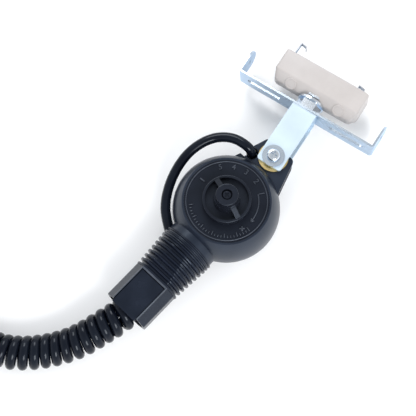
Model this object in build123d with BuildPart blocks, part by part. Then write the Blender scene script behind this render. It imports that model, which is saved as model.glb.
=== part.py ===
"""Rise-and-fall suspension for a pendant lamp, lying on its flat back.

The ball housing holds a spring-wound wire drum.  A forked lug on the ball carries a U-strap, which
turns on a screw and ends in a hollow nipple with a slotted ceiling crossbar and a terminal block.
The curly cord and its steel wire leave through a ribbed neck and end in a lower lamp fitting.

Origin: centre of the housing's flat back.  +Z: drum axis, out of the dial.  +Y: towards the hanger.
"""
import os
from math import acos, atan2, cos, degrees, pi, radians, sin, sqrt, tan

from build123d import *

os.makedirs("parts", exist_ok=True)

# Fits
run_clear = 0.06          # radial, shaft that turns in a bore
fit_clear = 0.15          # radial, pieces that don't turn on each other
seat_gap = 0.1            # flat faces that turn on each other
body_gap = 0.35           # least space between pieces that move apart

# Ball housing
ball_radius = 36.5
ball_height = 42.0
shell_wall = 2.2
end_wall = 2.4
mid = ball_height / 2
dial_radius = 28.4
dial_thick = 1.2
post_circle = 30.5        # circle of the shell screw posts
post_radius = 4.3
post_angle = 35.0

# Lug and pivot
pivot_y = 46.5
lug_top = 54.6
lug_top_half = 11.7
lug_flank = 18.0          # degrees from the housing's axis
lug_corner = 3.2
cheek_thick = 4.5
lug_slot = 8.0
friction_radius = 10.3
friction_thick = 1.4
pivot_radius = 2.5
pivot_washer_radius = 7.7
pivot_washer_thick = 1.0

# Hanger strap
hanger_angle = 10.5       # turn from the housing's axis in this pose, degrees
strap_width = 18.6
strap_thick = 2.0
strap_below = 6.9
strap_top = 41.4

# Ceiling crossbar
bar_swivel = 3.0          # turn about the strap's axis in this pose, degrees
bar_half = 54.0
bar_width = 18.6
bar_thick = 1.5
bar_bend = 2.2            # outer radius of the bend into each tab
tab_height = 20.4
tab_corner = 8.5
tab_hole_radius = 1.65
tab_hole_height = 12.4
slot_length = 27.0
slot_width = 4.5
slot_centre = 33.0

# Nipple and nuts
nipple_radius = 5.0
nipple_below = 8.0
nut_flats = 16.0
nut_height = 6.5
flange_radius = 10.0
flange_thick = 1.5
thin_nut_flats = 14.0
thin_nut_height = 3.0

# Terminal block
block_length = 66.0
block_depth = 20.0
block_height = 22.5
block_wall = 2.0
block_round = 6.5
block_offset = -0.5
lid_thick = 3.0
barrel_radius = 3.0
barrel_length = 13.0
barrel_pitch = 15.0
block_corner = 2.0
boss_radius = 4.3
boss_inset = 0.3
boss_left = -18.5
boss_right = 19.5
clip_inset = 2.6          # hooks' middles, in from the cover's wall
clip_rise_front = 9.3
clip_rise_rear = 7.3

# Knob, arbor, drum and spring
ring_radius = 16.3
ring_height = 5.5
ring_wall = 1.8
hub_radius = 7.5
hub_step_radius = 9.0
hub_height = 16.0
hub_step_height = 9.5
knob_floor = 1.6
dimple_radius = 3.6
dimple_depth = 3.0
fin_angles = (-17.0, 160.0)
fin_half = 1.7
knob_screw_radius = 1.25
knob_screw_length = 14.0
arbor_radius = 4.0
ratchet_radius = 11.0
ratchet_teeth = 12
ratchet_thick = 2.5
drum_core = 20.0
drum_flange = 24.8
drum_low = 12.0
drum_high = 30.0
flange_plate = 1.5
core_wall = 1.5
wire_radius = 0.75
spring_turns = 7
spring_pitch = 1.7
spring_strip = 0.5

# Neck
shoulder_radius = 18.4
spigot_radius = 16.4
spigot_bore = 15.2
spigot_end = 44.0
sleeve_start = 41.0
rib_count = 8
rib_pitch = 3.65
rib_thick = 2.0
rib_depth = 1.9
rib_first = 19.5
rib_last = 17.6
box_start = 68.4
mouth = 97.0
box_half_x = 16.5
box_half_z = 13.0
box_face_half = 11.0
box_side_half = 5.0
box_wall = 2.0
cover_half = 10.2
cover_lip = 2.0

# Cords
supply_radius = 3.4
coil_radius = 11.7
coil_bore = 4.6


def report(name, volume, section, length):
    """Compares a swept tube's volume with its section times its length."""
    print(name, "length", round(length, 1), "volume ratio", round(volume / (section * length), 4))


def bend_radii(points, widest=1e9):
    """Largest arcs that the runs allow: 0.45 of the shorter run over the tangent of half the turn."""
    radii = []
    for before, here, after in zip(points, points[1:], points[2:]):
        run_in = Vector(*here) - Vector(*before)
        run_out = Vector(*after) - Vector(*here)
        half_turn = radians(run_in.get_angle(run_out)) / 2
        radii.append(min(widest, 0.45 * min(run_in.length, run_out.length) / tan(half_turn)))
    return radii


def ball_part(radius, low, high):
    """Slice of a ball about the housing's centre, between two heights."""
    with BuildPart() as piece:
        with BuildSketch(Plane.XZ):
            with Locations((0, mid)):
                Circle(radius)
            with Locations((radius / 2, (low + high) / 2)):
                Rectangle(radius, high - low, mode=Mode.INTERSECT)
        revolve(axis=Axis.Z)
    return piece.part


def neck_plane(distance):
    """Plane across the neck: local x is +X, local y is +Z, and it faces away from the ball."""
    return Plane(origin=(0, -distance, mid), x_dir=(1, 0, 0), z_dir=(0, -1, 0))


def pan_screw(plane, shank, length, head, height):
    """Pan-head screw with a cross recess, head up on the plane and shank below it."""
    with BuildPart() as screw:
        with BuildSketch(plane):
            Circle(head)
        extrude(amount=height)
        rim = screw.edges().filter_by(lambda edge: plane.to_local_coords(edge.center()).Z > height / 2)
        fillet(rim, height * 0.55)
        with BuildSketch(plane.offset(height - 0.45 * height)):
            Rectangle(head * 1.05, head * 0.24)
            Rectangle(head * 0.24, head * 1.05)
        extrude(amount=height, mode=Mode.SUBTRACT)
        with BuildSketch(plane):
            Circle(shank)
        extrude(amount=-length)
    return screw.part


def hex_nut(plane, flats, bore, height):
    """Hexagon nut standing on the plane, with both faces' corners turned off."""
    with BuildPart() as nut:
        with BuildSketch(plane):
            RegularPolygon(flats / 2, 6, major_radius=False)
        extrude(amount=height)
        with BuildSketch(plane):
            Circle(flats / sqrt(3) - 0.25)
        extrude(amount=height, mode=Mode.INTERSECT)
        with BuildSketch(plane):
            Circle(bore)
        extrude(amount=height, mode=Mode.SUBTRACT)
    return nut.part


def ring(plane, outer, inner, height):
    """Flat ring standing on the plane."""
    with BuildPart() as piece:
        with BuildSketch(plane):
            Circle(outer)
            Circle(inner, mode=Mode.SUBTRACT)
        extrude(amount=height)
    return piece.part


def finish(piece, name):
    """Labels a finished piece and writes it."""
    piece.label = name
    export_step(piece, f"parts/{name}.step")


# ---------------------------------------------------------------- housing
lug_half = lug_slot / 2 + cheek_thick
lug_base = 28.0
lug_base_half = lug_top_half + (lug_top - lug_base) * tan(radians(lug_flank))
post_centres = [(side * post_circle * cos(radians(post_angle)), end * post_circle * sin(radians(post_angle)))
                for side in (-1, 1) for end in (-1, 1)]
screw_radius = 1.5
guide_radius = 4.0
cable_clear = 0.8
guide_floor = ball_radius + 0.6
cable_hole = Plane(origin=(-26, -32.3, mid + 0.7), x_dir=(0, 0, 1), z_dir=(0.862, -0.507, 0))
inner_radius = ball_radius - shell_wall

outer_ball = ball_part(ball_radius, 0, ball_height)
inner_ball = ball_part(inner_radius, end_wall, ball_height - end_wall)

with BuildPart() as posts:
    with BuildSketch():
        with Locations(*post_centres):
            Circle(post_radius)
    extrude(amount=ball_height)
    add(outer_ball, mode=Mode.INTERSECT)

with BuildPart() as housing:
    add(outer_ball)
    for level in (mid + lug_slot / 2, mid - lug_half):
        with BuildSketch(Plane.XY.offset(level)) as lug_section:
            with BuildLine():
                Polyline((-lug_base_half, lug_base), (-lug_top_half, lug_top),
                         (lug_top_half, lug_top), (lug_base_half, lug_base), close=True)
            make_face()
            fillet(lug_section.vertices().group_by(Axis.Y)[-1], lug_corner)
        extrude(amount=cheek_thick)
    for radius, reach in ((shoulder_radius, sleeve_start - seat_gap), (spigot_radius, spigot_end)):
        with BuildSketch(neck_plane(ball_radius - 8)):
            Circle(radius)
        extrude(amount=reach - ball_radius + 8)
    add(inner_ball, mode=Mode.SUBTRACT)
    add(posts.part)
    with BuildSketch(neck_plane(guide_floor)):
        Circle(spigot_bore)
    extrude(amount=spigot_end, mode=Mode.SUBTRACT)
    with BuildSketch(neck_plane(ball_radius - 6)):
        Circle(guide_radius + fit_clear)
    extrude(amount=12, mode=Mode.SUBTRACT)
    with BuildSketch(Plane.XY):
        with Locations((0, pivot_y)):
            Circle(pivot_radius + run_clear)
    extrude(amount=ball_height, mode=Mode.SUBTRACT)
    with BuildSketch(cable_hole):
        Circle(supply_radius + cable_clear)
    extrude(amount=18, mode=Mode.SUBTRACT)

# Front shell: dial recess, arbor bore in a boss, pilot holes, and the notch for the supply cable
notch_clear = 1.6
notch_x = -13.4
notch_y = 38.6
notch_run = 5.0           # how far the notch opens towards -X
arbor_boss_wall = 2.5
arbor_boss_drop = 1.0
screw_bite = 9.5          # thread of a shell screw in its post
with BuildPart() as front_shell:
    add(housing.part)
    split(bisect_by=Plane.XY.offset(mid), keep=Keep.TOP)
    with BuildSketch(Plane.XY.offset(ball_height)):
        Circle(dial_radius + fit_clear)
    extrude(amount=-dial_thick, mode=Mode.SUBTRACT)
    with BuildSketch(Plane.XY.offset(ball_height - end_wall)):
        Circle(arbor_radius + arbor_boss_wall)
    extrude(amount=-arbor_boss_drop)
    with BuildSketch(Plane.XY.offset(ball_height)):
        Circle(arbor_radius + run_clear)
    extrude(amount=-ball_height / 2, mode=Mode.SUBTRACT)
    with BuildSketch(Plane.XY.offset(mid)):
        with Locations(*post_centres):
            Circle(screw_radius)
    extrude(amount=screw_bite + 0.5, mode=Mode.SUBTRACT)
    with BuildSketch(Plane.XY.offset(mid + lug_slot / 2 - 0.5)):
        with Locations((notch_x, notch_y)):
            Circle(supply_radius + notch_clear)
        with Locations((notch_x - notch_run, notch_y)):
            Rectangle(2 * notch_run, 2 * (supply_radius + notch_clear))
    extrude(amount=cheek_thick + 1, mode=Mode.SUBTRACT)
finish(front_shell.part, "front_shell")

# Back shell: arbor bearing, clearance holes and counterbores for the shell screws
counterbore = 7.0
screw_head = 2.7
bearing_wall = 3.0
bearing_height = 5.0
with BuildPart() as back_shell:
    add(housing.part)
    split(bisect_by=Plane.XY.offset(mid), keep=Keep.BOTTOM)
    with BuildSketch(Plane.XY.offset(end_wall)):
        Circle(arbor_radius + bearing_wall)
    extrude(amount=bearing_height)
    with BuildSketch(Plane.XY.offset(end_wall)):
        Circle(arbor_radius + run_clear)
    extrude(amount=bearing_height, mode=Mode.SUBTRACT)
    for size, depth in ((screw_radius + fit_clear, mid), (screw_head + fit_clear, counterbore)):
        with BuildSketch(Plane.XY):
            with Locations(*post_centres):
                Circle(size)
        extrude(amount=depth, mode=Mode.SUBTRACT)
finish(back_shell.part, "back_shell")

# Dial plate, flush with the ball's face, and its centre hole round the knob's foot
foot_radius = 6.0
with BuildPart() as dial_plate:
    with BuildSketch(Plane.XY.offset(ball_height - dial_thick)):
        Circle(dial_radius)
        Circle(foot_radius + body_gap, mode=Mode.SUBTRACT)
    extrude(amount=dial_thick)
finish(dial_plate.part, "dial_plate")

# Shell screws, driven from the back
screw_parts = []
for x, y in post_centres:
    seat = Plane(origin=(x, y, counterbore), x_dir=(1, 0, 0), z_dir=(0, 0, -1))
    screw_parts.append(pan_screw(seat, screw_radius, mid - counterbore + screw_bite, screw_head, 2.0))
with BuildPart() as shell_screws:
    for item in screw_parts:
        add(item)
finish(shell_screws.part, "shell_screws")

# ---------------------------------------------------------------- winding mechanism
arbor_low = end_wall + 0.2
dimple_floor = ball_height + body_gap + hub_height - dimple_depth
knob_screw_tip = dimple_floor - knob_screw_length
ratchet_low = drum_high + 4.2
with BuildPart() as spring_arbor:
    with BuildSketch(Plane.XY.offset(arbor_low)):
        Circle(arbor_radius)
    extrude(amount=ball_height + ring_height - arbor_low)
    with BuildSketch(Plane.XY.offset(knob_screw_tip)):
        Circle(knob_screw_radius)
    extrude(amount=ball_height, mode=Mode.SUBTRACT)
finish(spring_arbor.part, "spring_arbor")

# Ratchet wheel, pressed on the arbor; saw teeth cut as triangles round the rim
with BuildPart() as ratchet_wheel:
    with BuildSketch(Plane.XY.offset(ratchet_low)):
        Circle(ratchet_radius)
        with PolarLocations(ratchet_radius, ratchet_teeth):
            Polygon((-2.2, 0), (0.6, 0), (0.6, 4.2), align=None, mode=Mode.SUBTRACT)
        Circle(arbor_radius, mode=Mode.SUBTRACT)
    extrude(amount=ratchet_thick)
finish(ratchet_wheel.part, "ratchet_wheel")

# Click spring: a leaf that springs over the ratchet teeth, with its foot on a shell post
click_foot = (inner_radius - 6.0, 6.5)
click_tip = (ratchet_radius - 0.7, 1.1)
with BuildPart() as click_spring:
    with BuildSketch(Plane.XY.offset(ratchet_low)):
        with BuildLine():
            SagittaArc(click_foot, click_tip, 1.2)
        trace(line_width=0.5)
        with Locations((click_foot[0] + 4, click_foot[1])):
            Rectangle(8.0, 3.2)
    extrude(amount=ratchet_thick)
    add(inner_ball, mode=Mode.INTERSECT)
finish(click_spring.part, "click_spring")

# Wire drum: a spool whose open cup holds the spring
bush_wall = 1.5
hub_wall = 1.0
hub_rise = 3.0            # drum hub above the lower flange's plate
with BuildPart() as cable_drum:
    with BuildSketch(Plane.XY.offset(drum_low)):
        Circle(drum_flange)
    extrude(amount=flange_plate)
    with BuildSketch(Plane.XY.offset(drum_low)):
        Circle(drum_core)
    extrude(amount=drum_high - drum_low)
    with BuildSketch(Plane.XY.offset(drum_high - flange_plate)):
        Circle(drum_flange)
    extrude(amount=flange_plate)
    with BuildSketch(Plane.XY.offset(drum_low + flange_plate)):
        Circle(drum_core - core_wall)
    extrude(amount=drum_high - drum_low, mode=Mode.SUBTRACT)
    with BuildSketch(Plane.XY.offset(drum_low)):
        Circle(arbor_radius + bush_wall + hub_wall)
    extrude(amount=flange_plate + hub_rise)
    with BuildSketch(Plane.XY.offset(drum_low)):
        Circle(arbor_radius + bush_wall)
    extrude(amount=flange_plate + hub_rise, mode=Mode.SUBTRACT)
finish(cable_drum.part, "cable_drum")

finish(ring(Plane.XY.offset(drum_low), arbor_radius + bush_wall, arbor_radius + run_clear,
            flange_plate + hub_rise), "drum_bush")
cover_thick = 1.2
finish(ring(Plane.XY.offset(drum_high), drum_core, arbor_radius + run_clear, cover_thick), "spring_cover")

winding_depth = 2.2
finish(ring(Plane.XY.offset(drum_low + flange_plate), drum_core + winding_depth, drum_core,
            drum_high - drum_low - 2 * flange_plate), "wire_winding")

# Mainspring: a flat strip wound in half circles, each a half pitch larger than the last
spring_low = drum_low + flange_plate + hub_rise + 0.4
spring_high = drum_high - 0.4
spring_inner = arbor_radius + spring_strip / 2 + body_gap
with BuildPart() as spiral_spring:
    with BuildSketch(Plane.XY.offset(spring_low)):
        with BuildLine():
            for half in range(2 * spring_turns):
                side = 1 if half % 2 == 0 else -1
                start = side * (spring_inner + half * spring_pitch / 2)
                end = -side * (spring_inner + (half + 1) * spring_pitch / 2)
                ThreePointArc((start, 0), ((start + end) / 2, side * abs(start - end) / 2), (end, 0))
        trace(line_width=spring_strip)
    extrude(amount=spring_high - spring_low)
finish(spiral_spring.part, "spiral_spring")

# Tension knob: ring wall, stepped hub with a dimple, and two fins
top = ball_height
with BuildPart() as tension_knob:
    with BuildSketch(Plane.XY.offset(top + body_gap)):
        Circle(ring_radius)
    extrude(amount=ring_height)
    fillet(tension_knob.faces().sort_by(Axis.Z)[-1].edges(), 0.7)
    with BuildSketch(Plane.XY.offset(top + body_gap + knob_floor)):
        Circle(ring_radius - ring_wall)
    extrude(amount=ring_height, mode=Mode.SUBTRACT)
    with BuildSketch(Plane.XY.offset(top + body_gap)):
        Circle(hub_step_radius)
    extrude(amount=hub_step_height, taper=3)
    with BuildSketch(Plane.XY.offset(top + body_gap)):
        Circle(hub_radius)
    extrude(amount=hub_height)
    fillet(tension_knob.edges().group_by(Axis.Z)[-1], 0.8)
    for angle in fin_angles:
        along = (cos(radians(angle)), sin(radians(angle)), 0)
        across = (sin(radians(angle)), -cos(radians(angle)), 0)
        fin_plane = Plane(origin=(0, 0, top + body_gap), x_dir=along, z_dir=across)
        with BuildSketch(fin_plane):
            with BuildLine():
                Polyline((hub_radius - 2, 0.5), (hub_radius - 2, hub_step_height + 1.5),
                         (ring_radius - 0.6, ring_height - 0.4), (ring_radius - 0.6, 0.5), close=True)
            make_face()
        extrude(amount=fin_half, both=True)
    with BuildSketch(Plane.XY.offset(top + body_gap + hub_height)):
        Circle(dimple_radius)
    extrude(amount=-dimple_depth, mode=Mode.SUBTRACT)
    with BuildSketch(Plane.XY.offset(top + body_gap)):
        Circle(knob_screw_radius + 0.45)
    extrude(amount=hub_height, mode=Mode.SUBTRACT)
    with BuildSketch(Plane.XY.offset(top - dial_thick)):
        Circle(foot_radius)
    extrude(amount=dial_thick + body_gap)
    with BuildSketch(Plane.XY.offset(top - dial_thick)):
        Circle(arbor_radius)
    extrude(amount=dial_thick + ring_height, mode=Mode.SUBTRACT)
finish(tension_knob.part, "tension_knob")

knob_seat = Plane(origin=(0, 0, dimple_floor))
finish(pan_screw(knob_seat, knob_screw_radius, knob_screw_length, dimple_radius - 0.4, 1.8), "knob_screw")

# ---------------------------------------------------------------- neck
def neck_outline(grow, blend):
    """Section of the sleeve: a circle at the ball that becomes the octagon of the box."""
    radius = rib_first + (rib_last - rib_first) * blend + grow
    half_x = radius - 0.15 * blend
    half_z = radius + (box_half_z + 1.6 - rib_last) * blend
    cut_x = (box_half_x - box_face_half) * blend + 0.01
    cut_z = (box_half_z - box_side_half) * blend + 0.01
    with BuildSketch() as outline:
        Circle(radius)
        Polygon((half_x, half_z - cut_z), (half_x - cut_x, half_z), (cut_x - half_x, half_z),
                (-half_x, half_z - cut_z), (-half_x, cut_z - half_z), (cut_x - half_x, -half_z),
                (half_x - cut_x, -half_z), (half_x, cut_z - half_z), align=None, mode=Mode.INTERSECT)
    return outline.sketch


def octagon(inset):
    """Section of the clamp box, pulled in by an inset."""
    wide = box_half_x - inset
    high = box_half_z - inset
    face = box_face_half - inset * 0.45
    side = box_side_half - inset * 0.3
    with BuildSketch() as outline:
        Polygon((wide, side), (face, high), (-face, high), (-wide, side), (-wide, -side),
                (-face, -high), (face, -high), (wide, -side), align=None)
    return outline.sketch


clamp_near = 77.0
clamp_far = 85.0
clamp_screw_place = (6.5, -(clamp_near + clamp_far) / 2)
clamp_screw_radius = 1.5
rib_sections = [neck_outline(0, i / (rib_count - 1)) for i in range(rib_count)]
core_sections = [neck_outline(-rib_depth, i / (rib_count - 1)) for i in range(rib_count)]
box_outer = octagon(0)
box_inner = octagon(box_wall)
bore_high = 15.0
bore_low = 11.6
bore_taper = degrees(atan2(bore_high - bore_low, box_start - spigot_end))
with BuildPart() as neck_sleeve:
    for i in range(rib_count):
        start = sleeve_start + i * rib_pitch
        with BuildSketch(neck_plane(start)):
            add(core_sections[i])
        extrude(amount=rib_pitch if i < rib_count - 1 else box_start - start)
        with BuildSketch(neck_plane(start)):
            add(rib_sections[i])
        extrude(amount=rib_thick)
    with BuildSketch(neck_plane(box_start)):
        add(box_outer)
    extrude(amount=mouth - box_start)
    with BuildSketch(neck_plane(sleeve_start)):
        Circle(spigot_radius)
    extrude(amount=spigot_end - sleeve_start, mode=Mode.SUBTRACT)
    with BuildSketch(neck_plane(spigot_end)):
        Circle(bore_high)
    extrude(amount=box_start - spigot_end, taper=bore_taper, mode=Mode.SUBTRACT)
    with BuildSketch(neck_plane(box_start - 0.5)):
        add(box_inner)
    extrude(amount=mouth - box_start + 1, mode=Mode.SUBTRACT)
    frame_edge = 0.8
    with BuildSketch(Plane.XY.offset(mid + box_half_z - 0.5)):
        with Locations((0, -(box_start + mouth) / 2)):
            Rectangle(2 * (cover_half + frame_edge), mouth - box_start)
    extrude(amount=0.5 + frame_edge)
    with BuildSketch(Plane.XY.offset(mid)):
        with Locations((0, -(box_start + 1.4 + mouth + 1) / 2)):
            Rectangle(2 * cover_half, mouth + 1 - box_start - 1.4)
    extrude(amount=box_half_z + 2, mode=Mode.SUBTRACT)
    with BuildSketch(cable_hole):
        Circle(supply_radius + cable_clear)
    extrude(amount=14, mode=Mode.SUBTRACT)
    with BuildSketch(Plane.XY.offset(mid - box_half_z)):
        with Locations(clamp_screw_place):
            Circle(clamp_screw_radius + fit_clear)
    extrude(amount=box_wall, mode=Mode.SUBTRACT)
finish(neck_sleeve.part, "neck_sleeve")

# Clamp cover: the framed panel in the box's front, with a lip past the mouth
cover_low = mid + box_half_z - box_wall - 0.2
with BuildPart() as clamp_cover:
    with BuildSketch(Plane.XY.offset(cover_low)):
        with Locations((0, -(box_start + 1.4 + mouth + cover_lip) / 2)):
            Rectangle(2 * (cover_half - fit_clear), mouth + cover_lip - box_start - 1.4 - 2 * fit_clear)
    extrude(amount=box_wall)
    fillet(clamp_cover.faces().sort_by(Axis.Z)[-1].edges(), 0.4)
finish(clamp_cover.part, "clamp_cover")

# Cord clamp: a block on the box's floor with a bore for the cable and one for the wire
cable_x = -7.5
clamp_floor = mid - box_half_z + box_wall
with BuildPart() as cord_clamp:
    with BuildSketch(Plane.XY.offset(clamp_floor)):
        with Locations((0, -(clamp_near + clamp_far) / 2)):
            Rectangle(2 * (box_face_half - 1.6), clamp_far - clamp_near)
    extrude(amount=15.0)
    fillet(cord_clamp.edges().filter_by(Axis.Z), 1.0)
    with BuildSketch(neck_plane(clamp_near)):
        with Locations((cable_x, 0)):
            Circle(supply_radius)
        Circle(wire_radius + 0.6)
    extrude(amount=clamp_far - clamp_near, mode=Mode.SUBTRACT)
    with BuildSketch(Plane.XY.offset(clamp_floor)):
        with Locations(clamp_screw_place):
            Circle(clamp_screw_radius)
    extrude(amount=12.0, mode=Mode.SUBTRACT)
finish(cord_clamp.part, "cord_clamp")

clamp_seat = Plane(origin=(*clamp_screw_place, mid - box_half_z), x_dir=(1, 0, 0), z_dir=(0, 0, -1))
finish(pan_screw(clamp_seat, clamp_screw_radius, 10.0, 2.7, 2.0), "clamp_screw")

# Wire guide: a flanged nylon eyelet in the wall between the ball and the neck
with BuildPart() as wire_guide:
    with BuildSketch(neck_plane(ball_radius - 3.2)):
        Circle(guide_radius)
    extrude(amount=guide_floor - ball_radius + 3.2)
    with BuildSketch(neck_plane(guide_floor)):
        Circle(guide_radius + 1.5)
    extrude(amount=1.2)
    with BuildSketch(neck_plane(ball_radius - 4)):
        Circle(wire_radius + 0.6)
    extrude(amount=8, mode=Mode.SUBTRACT)
    fillet(wire_guide.edges().filter_by(GeomType.CIRCLE).filter_by(
        lambda e: e.radius < wire_radius + 1), 0.9)
finish(wire_guide.part, "wire_guide")

# ---------------------------------------------------------------- hanger
def unit(x, y, z):
    """Direction as a vector of length one."""
    return Vector(x, y, z).normalized()


turn = radians(hanger_angle)
strap_dir = unit(-sin(turn), cos(turn), 0)
strap_side = unit(cos(turn), sin(turn), 0)
leg_inner = lug_half + friction_thick + seat_gap
leg_outer = leg_inner + strap_thick
pivot = Vector(0, pivot_y, mid)
hanger_plane = Plane(origin=pivot, x_dir=strap_side, z_dir=(0, 0, 1))
hanger_profile = Plane(origin=pivot, x_dir=strap_dir, z_dir=strap_side)
web_bore = nipple_radius + run_clear

with BuildPart() as hanger_strap:
    with BuildSketch(hanger_profile) as strap_section:
        with Locations(((strap_top - strap_below) / 2, 0)):
            Rectangle(strap_top + strap_below, 2 * leg_outer)
        fillet(strap_section.vertices().group_by(SortBy.DISTANCE)[-1], 3.0)
        with Locations(((strap_top - strap_below - strap_thick) / 2, 0)):
            Rectangle(strap_top + strap_below - strap_thick, 2 * leg_inner, mode=Mode.SUBTRACT)
    extrude(amount=strap_width / 2, both=True)
    with BuildSketch(hanger_plane) as strap_front:
        with Locations((0, (strap_top - strap_below) / 2)):
            Rectangle(strap_width, strap_top + strap_below)
        fillet(strap_front.vertices().sort_by(SortBy.DISTANCE)[:2], 2.0)
    extrude(amount=ball_height, both=True, mode=Mode.INTERSECT)
    with BuildSketch(hanger_plane):
        Circle(pivot_radius + fit_clear)
    extrude(amount=ball_height, both=True, mode=Mode.SUBTRACT)
    with BuildSketch(Plane(origin=pivot, x_dir=strap_side, z_dir=strap_dir)):
        Circle(web_bore)
    extrude(amount=strap_top + 5, mode=Mode.SUBTRACT)
finish(hanger_strap.part, "hanger_strap")

# Pivot screw with its washer and lock nut
washer_plane = hanger_plane.offset(leg_outer)
screw_plane = washer_plane.offset(pivot_washer_thick)
lock_nut_height = 4.5
screw_length = 2 * leg_outer + pivot_washer_thick + lock_nut_height + 0.8
finish(pan_screw(screw_plane, pivot_radius, screw_length, 4.4, 3.2), "pivot_screw")
finish(ring(washer_plane, pivot_washer_radius, pivot_radius + fit_clear, pivot_washer_thick), "pivot_washer")
finish(hex_nut(hanger_plane.offset(-leg_outer - lock_nut_height), 8.0, pivot_radius, lock_nut_height),
       "pivot_nut")

# Brass friction washers between the strap's legs and the lug's cheeks
washer_parts = [ring(hanger_plane.offset(lug_half), friction_radius, pivot_radius + run_clear, friction_thick),
                ring(hanger_plane.offset(-lug_half - friction_thick), friction_radius,
                     pivot_radius + run_clear, friction_thick)]
with BuildPart() as friction_washers:
    for item in washer_parts:
        add(item)
finish(friction_washers.part, "friction_washers")

# ---------------------------------------------------------------- ceiling bracket
swivel = radians(bar_swivel)
bar_dir = strap_side * cos(swivel) + Vector(0, 0, sin(swivel))
bar_down = strap_dir.cross(bar_dir)
bracket_origin = pivot + strap_dir * (strap_top + seat_gap)
bracket_plane = Plane(origin=bracket_origin, x_dir=bar_dir, z_dir=strap_dir)
bracket_profile = Plane(origin=bracket_origin, x_dir=bar_dir, z_dir=bar_down * -1)
bracket_end = Plane(origin=bracket_origin, x_dir=bar_down, z_dir=bar_dir)
print("bracket origin", bracket_origin, "bar direction", bar_dir, "strap direction", strap_dir)

with BuildPart() as ceiling_crossbar:
    with BuildSketch(bracket_profile) as bar_section:
        with Locations((0, tab_height / 2)):
            Rectangle(2 * bar_half, tab_height)
        fillet(bar_section.vertices().sort_by(lambda v: bracket_profile.to_local_coords(v.center()).Y)[:2],
               bar_bend)
        with Locations((0, bar_thick + tab_height / 2)):
            Rectangle(2 * (bar_half - bar_thick), tab_height, mode=Mode.SUBTRACT)
    extrude(amount=bar_width / 2, both=True)
    with BuildSketch(bracket_end) as tab_face:
        with Locations((0, tab_height / 2)):
            Rectangle(bar_width, tab_height)
        fillet(tab_face.vertices().sort_by(lambda v: bracket_end.to_local_coords(v.center()).Y)[2:],
               tab_corner)
    extrude(amount=bar_half + 1, both=True, mode=Mode.INTERSECT)
    with BuildSketch(bracket_plane):
        Circle(nipple_radius)
        with Locations((-slot_centre, 0), (slot_centre, 0)):
            SlotOverall(slot_length, slot_width)
    extrude(amount=bar_thick, mode=Mode.SUBTRACT)
    with BuildSketch(bracket_end):
        with Locations((0, tab_hole_height)):
            Circle(tab_hole_radius)
    extrude(amount=bar_half + 1, both=True, mode=Mode.SUBTRACT)
finish(ceiling_crossbar.part, "ceiling_crossbar")

# Hollow nipple with the nut below the web, the nut above the bar, its flange, and the nut in the block
nut_low = bar_thick
flange_low = nut_low + nut_height
block_low = flange_low + flange_thick
block_floor = block_low + block_wall
nipple_top = block_floor + thin_nut_height + 1.0
finish(ring(bracket_plane.offset(-nipple_below), nipple_radius, supply_radius, nipple_below + nipple_top),
       "hollow_nipple")
finish(hex_nut(bracket_plane.offset(-strap_thick - 2 * seat_gap - thin_nut_height), thin_nut_flats,
               nipple_radius, thin_nut_height), "nipple_lock_nut")
finish(hex_nut(bracket_plane.offset(nut_low), nut_flats, nipple_radius, nut_height), "hex_nut")
finish(ring(bracket_plane.offset(flange_low), flange_radius, nipple_radius, flange_thick), "flange_washer")
finish(hex_nut(bracket_plane.offset(block_floor), thin_nut_flats, nipple_radius, thin_nut_height),
       "block_nut")

def low_gap(edge):
    """How far an edge's middle lies beyond the terminal block's lower face."""
    return bracket_plane.to_local_coords(edge.center()).Z - block_low


# Terminal block cover: a deep rounded tray, open towards the ceiling
boss_across = -(block_depth / 2 - boss_radius - boss_inset)
with BuildPart() as terminal_cover:
    with BuildSketch(bracket_plane.offset(block_low)):
        with Locations((block_offset, 0)):
            Rectangle(block_length, block_depth)
    extrude(amount=block_height)
    upright = terminal_cover.edges().filter_by(lambda e: low_gap(e) > 1.0 and low_gap(e) < block_height - 1.0)
    fillet(upright, block_corner)
    fillet(terminal_cover.edges().filter_by(lambda e: low_gap(e) < 0.01), block_round)
    with BuildSketch(bracket_plane.offset(block_low + 0.2)):
        with Locations((boss_left, boss_across), (boss_right, boss_across)):
            Circle(boss_radius)
    extrude(amount=block_height / 2)
    with BuildSketch(bracket_plane.offset(block_floor)):
        with Locations((block_offset, 0)):
            RectangleRounded(block_length - 2 * block_wall, block_depth - 2 * block_wall, 0.8)
    extrude(amount=block_height, mode=Mode.SUBTRACT)
    with BuildSketch(bracket_plane.offset(block_low)):
        Circle(nipple_radius)
    extrude(amount=block_wall, mode=Mode.SUBTRACT)
finish(terminal_cover.part, "terminal_cover")

# Terminal base: the insulating insert that carries the barrels
block_top = block_low + block_height
lid_low = block_top - lid_thick
barrel_centre = block_floor + 12.0
barrel_places = [(block_offset + i * barrel_pitch, 0) for i in (-1, 0, 1)]
barrel_plane = Plane(origin=bracket_origin + strap_dir * barrel_centre, x_dir=bar_dir, z_dir=bar_down * -1)
barrel_wrap = 1.0
access_radius = 2.5
with BuildPart() as terminal_base:
    with BuildSketch(bracket_plane.offset(lid_low)):
        with Locations((block_offset, 0)):
            RectangleRounded(block_length - 2 * (block_wall + fit_clear),
                             block_depth - 2 * (block_wall + fit_clear), 0.7)
    extrude(amount=lid_thick)
    with BuildSketch(bracket_plane.offset(barrel_centre - barrel_wrap)):
        with Locations((block_offset, 0)):
            Rectangle(2 * barrel_pitch + 14, barrel_length)
    extrude(amount=lid_low - barrel_centre + barrel_wrap)
    with BuildSketch(barrel_plane):
        with Locations(*barrel_places):
            Circle(barrel_radius)
    extrude(amount=barrel_length, both=True, mode=Mode.SUBTRACT)
    with BuildSketch(bracket_plane.offset(barrel_centre)):
        with Locations(*barrel_places):
            Circle(access_radius)
    extrude(amount=block_height, mode=Mode.SUBTRACT)
finish(terminal_base.part, "terminal_base")

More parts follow.
